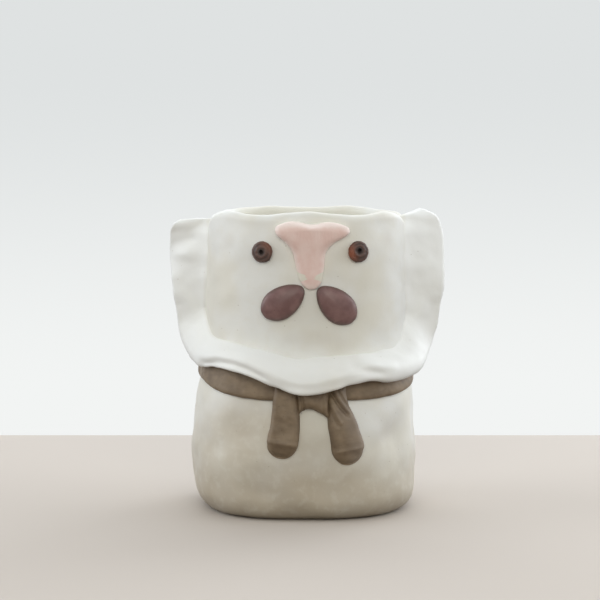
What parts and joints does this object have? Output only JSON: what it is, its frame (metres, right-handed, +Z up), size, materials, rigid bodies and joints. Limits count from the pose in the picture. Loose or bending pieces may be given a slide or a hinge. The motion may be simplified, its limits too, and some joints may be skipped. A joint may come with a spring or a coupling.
{
  "type": "figural planter",
  "caption": "Small hand-built glazed ceramic planter: a squarish pinched pot shaped as an animal, with a modelled face, a frilled ruff and a knotted clay scarf, open at the top.",
  "frame": {"origin": "on the table, under the centre of the planter's outline", "axes": "+Z up, the face looks along -Y, +X to the viewer's right"},
  "size_m": [0.0932, 0.0834, 0.1007],
  "materials": {
    "white_glaze": "satin",
    "taupe_glaze": "matte",
    "pink_glaze": "satin",
    "brown_glaze": "gloss",
    "mauve_glaze": "satin"
  },
  "bodies": {
    "root": {"pot_wall": "white_glaze", "pot_floor": "white_glaze", "inside_seam_coil": "white_glaze", "ruff": "white_glaze", "scarf_band": "taupe_glaze", "scarf_knot": "taupe_glaze", "scarf_tail_left": "taupe_glaze", "scarf_tail_right": "taupe_glaze", "nose": "pink_glaze", "eye_left": "brown_glaze", "eye_right": "brown_glaze", "muzzle_pad_left": "mauve_glaze", "muzzle_pad_right": "mauve_glaze"}
  },
  "joints": []
}
